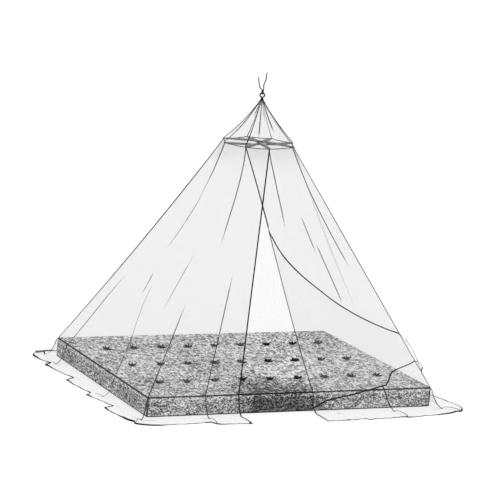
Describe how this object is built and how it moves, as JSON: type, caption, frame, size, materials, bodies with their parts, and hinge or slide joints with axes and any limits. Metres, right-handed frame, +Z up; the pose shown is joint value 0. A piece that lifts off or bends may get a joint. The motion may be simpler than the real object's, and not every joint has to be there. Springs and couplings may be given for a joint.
{
  "type": "mosquito net canopy with mattress",
  "caption": "Sheer bell-shaped net hung from one ring, spread by crossed slats, falling over a plain mattress to a hem on the floor, with its door flap folded back.",
  "frame": {"origin": "middle of the mattress's underside, on the floor", "axes": "+X along the mattress's long side to the right as seen from the door, +Y away from the door, +Z up"},
  "size_m": [2.4068, 2.044, 2.0617],
  "materials": {
    "net": "sheer fine mesh, matt",
    "binding": "dark woven tape",
    "slats": "grey stained, satin",
    "ring": "dark, worn",
    "cord": "dark twisted cord",
    "ticking": "mottled grey woven ticking"
  },
  "bodies": {
    "root": {"wall_net": "net", "crown_net": "net", "rim_binding": "binding", "slat_1": "slats", "slat_2": "slats", "slat_3": "slats", "slat_4": "slats", "slat_pin": "ring", "hang_ring": "ring", "tie_knot": "cord", "tie_tail_left": "cord", "tie_tail_right": "cord", "mattress": "ticking"}
  },
  "joints": []
}
